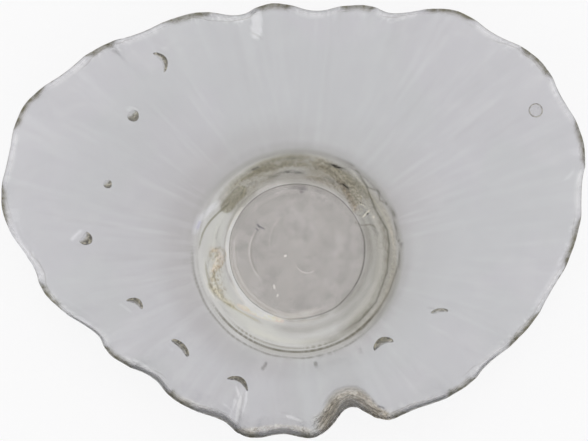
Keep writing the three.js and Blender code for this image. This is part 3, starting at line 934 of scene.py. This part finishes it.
sharedGlass = {"ior": 1.5, "absorption": (0.78, 0.78, 0.70), "density": 8.0}
bodyGlassLook = {
    "wall": (0.628, 0.623, 0.648),
    # lowWall: a painted shade low on the wall, towards the base
    "lowWall": (0.572, 0.562, 0.570),
    "side": (0.720, 0.713, 0.700),
    "floor": (0.632, 0.618, 0.606),
    "dust": (0.48, 0.465, 0.46),
    "dustShare": 0.5,
    "cloud": (0.86, 0.84, 0.84),
    "cloudShare": {"floor": 0.34, "all": 0.10},
    # streak and dimStreak: painted lighter sheen and darker shade along the drawn streaks
    "streak": (0.72, 0.72, 0.74),
    "dimStreak": (0.57, 0.565, 0.58),
    "streakShare": 0.36,
    "hueShift": (0.612, 0.626, 0.630),
    "hueShare": 0.4,
    "clearness": 0.93,
    # edge: the painted dark on the turned-down crests and the rim's line, where light runs along the glass,
    # olive as the thick glass is
    "edge": (0.16, 0.145, 0.085),
    "edgeLeast": 0.62,
    "grainDark": (0.52, 0.48, 0.40),
    "grainLight": (1.30, 1.26, 1.18),
    # foldDark and foldLight: the fold's crinkles in painted shade and painted highlight, with a brownish tone
    "foldDark": (0.27, 0.225, 0.155),
    "foldLight": (1.0, 0.965, 0.89),
    "glint": (0.98, 0.98, 0.98),
    "glintShare": 0.75,
    "fan": {"share": 0.65, "least": 0.35},
    "fleckReach": 0.75,
    "line": {"from": -0.12, "wander": 0.9, "width": 0.045, "share": 0.45},
    "roughness": 0.05,
    "edgeRoughness": 0.38,
    "foldRoughShare": 0.35,
    "ripple": {"Scale": 55.0, "Fine": 0.25},
    "rippleDepth": 0.25 * mm,
    "creaseShare": 1.6,
}

# Cloudy masks: scale, detail, and the noise value where each starts and is full
cloudiness = {
    "cloud": (60.0, 5.0, 0.42, 0.75),
    "foldCrinkle": (560.0, 3.0, 0.44, 0.56),
    "hue": (13.0, 2.0, 0.45, 0.60),
    "dust": (95.0, 6.0, 0.46, 0.70),
    "speckle": (520.0, 4.0, 0.43, 0.57),
    "edgeGrain": (300.0, 3.0, 0.3, 0.6),
    "rimFlecks": (430.0, 2.0, 0.55, 0.60),
    "rimPlaces": (24.0, 1.0, 0.44, 0.58),
    "creases": (480.0, 3.0, 0.3, 0.7),
    "footCloud": (70.0, 5.0, 0.35, 0.7),
    "dropGrain": (620.0, 4.0, 0.44, 0.56),
}

# Streaks up the wall and the rim's painted fan of light: how many, length, and the noise value where
# each starts and is full
drawnStreaksAndSheen = {
    "streak": (17.0, 1.6, 0.46, 0.74),
    "dimStreak": (17.0, 1.2, 0.52, 0.75),
    "rimFan": (85.0, 3.0, 0.36, 0.60),
}
footGlassLook = {
    "clear": (0.93, 0.905, 0.885),
    "cloudy": (0.84, 0.82, 0.80),
    "clearness": 0.93,
    "roughness": 0.09,
    "ripple": {"Scale": 90.0, "Fine": 0.3},
    "rippleDepth": 0.1 * mm,
}
dropGlassLook = {
    "clear": (0.97, 0.97, 0.96),
    # olive and dark: the painted shade on each drop's steep side, olive-toned
    "olive": (0.74, 0.69, 0.50),
    "dark": (0.05, 0.04, 0.01),
    "clearness": 0.96,
    "roughness": 0.05,
    "ripple": {"Scale": 240.0, "Fine": 0.5},
    "rippleDepth": 0.3 * mm,
}

# Parts of circles in the floor, seen from above, as painted light lines and one painted shade line,
# most along the foot's grooves and the floor's edge: middle x and y, radius and width in mm, middle
# bearing and reach each way in degrees, tint
floorArcs = [
    (-6.5, -0.5, 26.4, 1.5, 183, 54, (1.20, 1.20, 1.19)),
    (-6.5, -0.5, 24.8, 1.4, 180, 50, (0.88, 0.87, 0.86)),
    (4.0, 6.0, 23.0, 1.4, 165, 50, (1.09, 1.09, 1.09)),
    (0.5, 0.5, 44.0, 1.4, 215, 60, (1.25, 1.24, 1.22)),
    (7.0, -7.0, 8.0, 1.2, 262, 70, (1.34, 1.33, 1.32)),
]

# Small marks on the floor, seen from above: x and y from the axis, length and width in mm, turn
# in degrees, how soft and how ragged the edge is, tint
floorMarks = [
    (0.0, 44.0, 22, 3.4, 2, 0.9, 0.6, (0.78, 0.77, 0.78)),
    (4.4, 43.0, 9, 3.0, -8, 0.8, 0.4, (0.58, 0.57, 0.59)),
    (-26.4, 17.4, 5.0, 1.9, 125, 0.6, 0.5, (0.50, 0.50, 0.54)),
    (-24.2, 16.2, 6.0, 1.7, 150, 0.6, 0.5, (0.54, 0.54, 0.58)),
    (-27.4, 15.0, 4.0, 1.7, 130, 0.6, 0.5, (0.60, 0.60, 0.64)),
    (-8.0, -3.2, 2.8, 2.2, 10, 0.5, 0.3, (1.56, 1.56, 1.56)),
    (-15.6, -24.6, 4.6, 2.0, 100, 0.5, 0.6, (1.50, 1.50, 1.50)),
    (-13.4, -30.5, 3.4, 1.9, 70, 0.5, 0.6, (1.50, 1.50, 1.50)),
    (3.4, 41.0, 5.0, 2.2, -12, 0.7, 0.4, (0.62, 0.61, 0.63)),
]


def newGlass(name, look):
    material = bpy.data.materials.new(name)
    material.use_nodes = True
    tree = material.node_tree
    glass = tree.nodes["Principled BSDF"].inputs
    glass["Metallic"].default_value = 0
    glass["Roughness"].default_value = look["roughness"]
    glass["IOR"].default_value = sharedGlass["ior"]
    glass["Transmission Weight"].default_value = look["clearness"]
    sockets = {"Color": sharedGlass["absorption"], "Density": sharedGlass["density"]}
    inside = addNode(tree, "VolumeAbsorption", sockets)
    tree.links.new(inside.outputs[0], tree.nodes["Material Output"].inputs["Volume"])
    return material, tree, glass


def endGlass(material, glass, colour, height, depth):
    tree = material.node_tree
    tree.links.new(colour, glass["Base Color"])
    raised = addNode(tree, "Bump", {"Height": height, "Distance": depth, "Strength": 1.0})
    tree.links.new(raised.outputs[0], glass["Normal"])
    arrangeNodes(tree, tree.nodes["Material Output"])
    return material


def addFloorDetail(tree, colour):
    # small marks in the floor, and parts of circles drawn as painted light and shade lines
    masks = []
    for x, y, length, width, turn, soft, ragged, tint in floorMarks:
        size = (length / 2 * mm, width / 2 * mm, 1)
        values = {"Place": (x * mm, y * mm, 0), "Turn": math.radians(-turn), "Size": size}
        mask = useGroup(tree, patchGroup, Soft=soft, Ragged=ragged, Grain=700.0, **values)
        masks.append((tint, mask))
    for x, y, radius, width, middle, reach, tint in floorArcs:
        values = {"Centre": (x * mm, y * mm, 0), "Radius": radius * mm, "Width": width * mm}
        mask = useGroup(tree, arcGroup, Middle=math.radians(middle), Reach=math.radians(reach), **values)
        masks.append((tint, mask))
    for tint, mask in masks:
        factor = product(tree, mask, attribute(tree, "onFloor"))
        colour = mixColour(tree, factor, colour, tint, "MULTIPLY")
    return colour


def addRimDetail(tree, colour, look):
    # painted highlights, fanned between the crests and as bright flecks, and a thin painted dark line
    # that wanders along the rim
    fan, line = look["fan"], look["line"]
    fanned = streaks(tree, "rimFan")
    fanned = mathNode(tree, "MULTIPLY_ADD", fanned, fan["share"], fan["least"])
    factor = product(tree, fanned, attribute(tree, "rimGlint"), look["glintShare"])
    colour = mixColour(tree, factor, colour, look["glint"])
    gap = attribute(tree, "rimGap")
    spots = mottle(tree, "rimFlecks")
    places = mottle(tree, "rimPlaces")
    factor = product(tree, spots, places, stepNode(tree, gap, look["fleckReach"], 0.05))
    colour = mixColour(tree, factor, colour, look["glint"])
    wander = noiseNode(tree, addNode(tree, "TexCoord").outputs["Object"], 34.0, 2.0)
    middle = mathNode(tree, "MULTIPLY_ADD", wander, line["wander"], line["from"])
    away = mathNode(tree, "ABSOLUTE", mathNode(tree, "SUBTRACT", gap, middle))
    factor = product(tree, stepNode(tree, away, line["width"], 0.0), places, line["share"])
    return mixColour(tree, factor, colour, look["edge"])


def bodyColour(tree, look):
    onWall, onFloor = attribute(tree, "onWall"), attribute(tree, "onFloor")
    higher = mathNode(tree, "MULTIPLY", attribute(tree, "upWall"), 3.0, clamp=True)
    colour = mixColour(tree, onFloor, look["side"], look["floor"])
    # the wall darkens towards the base as painted shade
    colour = mixColour(tree, onWall, colour, mixColour(tree, higher, look["lowWall"], look["wall"]))
    # lighter and darker painted streaks along the drawn glass
    for kind in ("streak", "dimStreak"):
        factor = product(tree, streaks(tree, kind), onWall, look["streakShare"])
        colour = mixColour(tree, factor, colour, look[kind])
    cloud = mottle(tree, "cloud")
    share = mathNode(tree, "MULTIPLY_ADD", onFloor, look["cloudShare"]["floor"], look["cloudShare"]["all"])
    colour = mixColour(tree, product(tree, cloud, share), colour, look["cloud"])
    # the fold's crinkles: painted shade and highlight in a brownish tone
    crinkle = mottle(tree, "foldCrinkle")
    crinkled = mixColour(tree, crinkle, look["foldDark"], look["foldLight"])
    colour = mixColour(tree, attribute(tree, "inFold"), colour, crinkled)
    hue = mottle(tree, "hue")
    colour = mixColour(tree, product(tree, hue, onWall, look["hueShare"]), colour, look["hueShift"])
    dust = mottle(tree, "dust")
    colour = mixColour(tree, product(tree, dust, onFloor, look["dustShare"]), colour, look["dust"])
    # the marks' painted shade, highlights and reflections
    colour = mixColour(tree, 1.0, colour, attribute(tree, "tintAndPaintedLight", "Vector"), "MULTIPLY")
    speckle = mottle(tree, "speckle")
    speckled = mixColour(tree, speckle, look["grainDark"], look["grainLight"])
    colour = mixColour(tree, attribute(tree, "grainShare"), colour, speckled, "MULTIPLY")
    colour = addRimDetail(tree, addFloorDetail(tree, colour), look)
    # painted dark along the turned-down crest edges, olive-toned
    grain = mottle(tree, "edgeGrain")
    broken = greatest(tree, grain, look["edgeLeast"])
    colour = mixColour(tree, product(tree, attribute(tree, "turnedEdge"), broken), colour, look["edge"])
    colour.node.clamp_result = True
    return colour


def makeBodyGlass():
    look = bodyGlassLook
    material, tree, glass = newGlass("bodyGlass", look)
    edge, folded, softRim = (attribute(tree, name) for name in ("turnedEdge", "inFold", "softRim"))
    soft = greatest(tree, edge, softRim, product(tree, folded, look["foldRoughShare"]))
    dull = stepNode(tree, soft, 0.0, 1.0, look["roughness"], look["edgeRoughness"], "LINEAR")
    tree.links.new(dull, glass["Roughness"])
    ripple = useGroup(tree, rippleGroup, **look["ripple"])
    creased = mottle(tree, "creases")
    raised = product(tree, creased, greatest(tree, edge, folded), look["creaseShare"])
    height = mathNode(tree, "ADD", ripple, raised)
    return endGlass(material, glass, bodyColour(tree, look), height, look["rippleDepth"])


def makeFootGlass():
    look = footGlassLook
    material, tree, glass = newGlass("footGlass", look)
    cloud = mottle(tree, "footCloud")
    ripple = useGroup(tree, rippleGroup, **look["ripple"])
    colour = mixColour(tree, cloud, look["clear"], look["cloudy"])
    return endGlass(material, glass, colour, ripple, look["rippleDepth"])


def makeDropGlass():
    look = dropGlassLook
    material, tree, glass = newGlass("dropGlass", look)
    # painted olive shade on each drop's steep side
    steep = attribute(tree, "steepSide")
    grain = mottle(tree, "dropGrain")
    ripple = useGroup(tree, rippleGroup, **look["ripple"])
    colour = mixColour(tree, steep, look["clear"], look["olive"])
    colour = mixColour(tree, product(tree, steep, grain), colour, look["dark"])
    return endGlass(material, glass, colour, ripple, look["rippleDepth"])


bodyGlass = makeBodyGlass()
footGlass = makeFootGlass()
dropGlass = makeDropGlass()
print("glass is mixed")


def makeBowl():
    ends, chains = sectionChains("bowl_body")
    places = withExtraRows(chains[0])[1]
    fullChains = [withExtraRows(chain)[0] for chain in chains]
    mesh = meshFromChains("bowl", ends, fullChains, places, crestWaves(chains))
    bowl = bpy.data.objects.new("bowl", mesh)
    scene.collection.objects.link(bowl)
    makeActive(bowl)
    rounding = bowl.modifiers.new("rounding", "SUBSURF")
    rounding.levels = bowlShape["smoothing"]
    rounding.render_levels = bowlShape["smoothing"]
    bpy.ops.object.modifier_apply(modifier="rounding")
    shapeBowl(bowl.data)
    paintBowl(bowl.data)
    bpy.ops.object.mode_set(mode="EDIT")
    bpy.ops.mesh.select_all(action="SELECT")
    bpy.ops.mesh.normals_make_consistent(inside=False)
    bpy.ops.object.mode_set(mode="OBJECT")
    surface = BVHTree.FromObject(bowl, bpy.context.evaluated_depsgraph_get())
    finishPiece(bowl, bodyGlass, "clear_glass", "bowl_body")
    print("bowl:", len(bowl.data.polygons), "faces")
    return surface


bowlSurface = makeBowl()

footShape = {
    "radius": 49.0 * mm,
    "height": 6.15 * mm,
    "sides": 160,
    "edge": 2.0 * mm,
    "step": 1.6 * mm,
    "grooves": [
        {"x": -6.5 * mm, "y": -0.5 * mm, "radius": 26.0 * mm, "width": 1.6 * mm, "depth": 0.45 * mm},
        {"x": 4.5 * mm, "y": 6.5 * mm, "radius": 23.0 * mm, "width": 1.4 * mm, "depth": 0.35 * mm},
    ],
    "unevenness": {"depth": 0.25 * mm, "size": 14 * mm, "fineSize": 5 * mm, "fineShare": 0.4},
}


def selectParts(piece, mode, kind, chosen):
    # leaves the piece in edit mode with only the chosen edges or faces selected
    bpy.ops.object.mode_set(mode="EDIT")
    bpy.ops.mesh.select_mode(type=mode)
    bpy.ops.mesh.select_all(action="DESELECT")
    bpy.ops.object.mode_set(mode="OBJECT")
    for part in getattr(piece.data, kind):
        part.select = chosen(part)
    bpy.ops.object.mode_set(mode="EDIT")


def makeFoot():
    shape, uneven = footShape, footShape["unevenness"]
    bpy.ops.object.select_all(action="DESELECT")
    bpy.ops.mesh.primitive_cylinder_add(
        vertices=shape["sides"], radius=shape["radius"], depth=shape["height"],
        location=(0, 0, shape["height"] / 2), end_fill_type="NGON",
    )
    foot = bpy.context.object
    foot.name = "foot"
    bpy.ops.object.transform_apply(location=True)

    def isLowEdge(edge):
        return max(foot.data.vertices[index].co.z for index in edge.vertices) < 0.1 * mm

    def isUnderside(face):
        return face.normal.z < -0.99 and len(face.vertices) > 4

    selectParts(foot, "EDGE", "edges", isLowEdge)
    bpy.ops.mesh.bevel(offset=shape["edge"], segments=5)
    selectParts(foot, "FACE", "polygons", isUnderside)
    for _ in range(int((shape["radius"] - shape["edge"]) / shape["step"]) - 1):
        bpy.ops.mesh.inset(thickness=shape["step"])
    bpy.ops.mesh.poke()
    bpy.ops.object.mode_set(mode="OBJECT")
    for vert in foot.data.vertices:
        if vert.co.z < 0.01 * mm and axisDistance(vert.co) < shape["radius"] - shape["edge"]:
            rise = 0.0
            for groove in shape["grooves"]:
                away = math.hypot(vert.co.x - groove["x"], vert.co.y - groove["y"]) - groove["radius"]
                rise = max(rise, groove["depth"] * math.exp(-((away / groove["width"]) ** 2)))
            hollow = noise.noise(vert.co / uneven["size"])
            hollow += uneven["fineShare"] * noise.noise(vert.co / uneven["fineSize"])
            vert.co.z += rise + uneven["depth"] * max(0.0, hollow)
    finishPiece(foot, footGlass, "foot_glass", "foot_pad")
    print("foot:", len(foot.data.polygons), "faces")


makeFoot()

# Drops laid on the wall, in mm: length round the steep side, width across it, which way that side
# faces seen from above, height, bend of the ends, how far it lies forward, how dark the painted
# shade on the steep side is and how even the thickness. The usual values hold where a drop gives none.
usualDrop = {"bend": 0.0, "forward": 0.0, "dark": 1.0, "even": 0.1}
ringDrop = {"height": 0.9, "dark": 0.55, "even": 0.9, "ring": True}
roundDrop = {"faces": -50, "bend": 0.15, "dark": 0.9, "even": 0.15}
drops = {
    "wall_drop_1": {"length": 9.2, "width": 8.8, "faces": 215, **ringDrop},
    "wall_drop_2": {"length": 14.0, "width": 4.2, "faces": 30, "height": 1.5, "bend": 1.6, "forward": 3.2},
    "wall_drop_3": {"length": 7.4, "width": 7.2, "height": 1.8, **roundDrop},
    "wall_drop_4": {"length": 5.6, "width": 5.6, "height": 1.7, **roundDrop},
    "wall_drop_5": {"length": 9.0, "width": 7.0, "faces": -30, "height": 1.8, "bend": 0.5, "even": 0.08},
    "wall_drop_6": {"length": 11.5, "width": 5.0, "faces": 60, "height": 1.4, "bend": 1.0, "forward": 2.0},
    "wall_drop_7": {"length": 15.0, "width": 5.2, "faces": 48, "height": 1.4, "bend": 0.35, "forward": 2.4},
    "wall_drop_8": {"length": 15.0, "width": 5.4, "faces": 62, "height": 1.5, "bend": 1.2, "forward": 3.6},
    "wall_drop_9": {"length": 14.0, "width": 6.6, "faces": 116, "height": 1.5, "bend": 0.9, "forward": 3.0},
    "wall_drop_10": {
        "length": 11.0, "width": 3.4, "faces": 98, "height": 0.9, "bend": 0.5, "forward": 2.6, "dark": 0.7,
    },
}

# Each drop starts as a sphere of radius 1. thick and steepDark run from its back (-1) to its front
# (1), ringDark from its middle (0) to its outline (1).
dropShape = {
    "gap": 0.12 * mm,
    "segments": 56,
    "rings": 28,
    "lumpShare": 0.35,
    "lumpGrain": 2.6,
    "thick": (-1.1, 0.65, 0.8, 1.3),
    # ringDark and steepDark place the painted shade
    "ringDark": (0.76, 0.86, 0.97, 1.05),
    "steepDark": (-0.7, 0.2),
}


def makeDrop(node, drop, surface):
    low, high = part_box(node)
    seat, normal, _, _ = surface.find_nearest((Vector(low) + Vector(high)) / 2)
    shape, bend, even, facing = dropShape, drop["bend"], drop["even"], math.radians(drop["faces"])
    across = normal.cross(Vector((math.cos(facing), math.sin(facing), 0))).normalized()
    way = across.cross(normal).normalized()
    bpy.ops.object.select_all(action="DESELECT")
    bpy.ops.mesh.primitive_uv_sphere_add(segments=shape["segments"], ring_count=shape["rings"], radius=1)
    piece = bpy.context.object
    piece.name = node.replace("wall_drop", "drop")
    steep = []
    for vert in piece.data.vertices:
        front, side, rise = vert.co
        thick = even + (1 - even) * bump(*shape["thick"], front)
        # the sphere is bent to a crescent with blunt ends, then laid on the wall
        blunt = 1 if bend < 0.3 else (1.03 - side * side) ** -0.25
        ahead = front * blunt * (1 - 0.15 * bend * side * side) + bend * (0.5 - side * side)
        onWall = seat + way * ((ahead * drop["width"] / 2 + drop["forward"]) * mm)
        spot, outwards, _, _ = surface.find_nearest(onWall + across * (side * drop["length"] / 2 * mm))
        lift = thick * (0.4 + (0.6 if rise > 0 else 0.4) * rise)
        lumpy = 1 + shape["lumpShare"] * noise.noise(vert.co * shape["lumpGrain"] + seat * 400)
        vert.co = spot + outwards * (shape["gap"] + lift * drop["height"] * mm * lumpy)
        # the painted shade on the steep side, or round the outline of a ring drop
        if drop.get("ring"):
            steep.append(drop["dark"] * bump(*shape["ringDark"], math.hypot(front, side)))
        else:
            steep.append(drop["dark"] * smooth(*shape["steepDark"], front))
    writeValues(piece.data, "steepSide", steep)
    finishPiece(piece, dropGlass, "drop_glass", node)


for node, drop in drops.items():
    makeDrop(node, {**usualDrop, **drop}, bowlSurface)
print("drops:", len(drops))
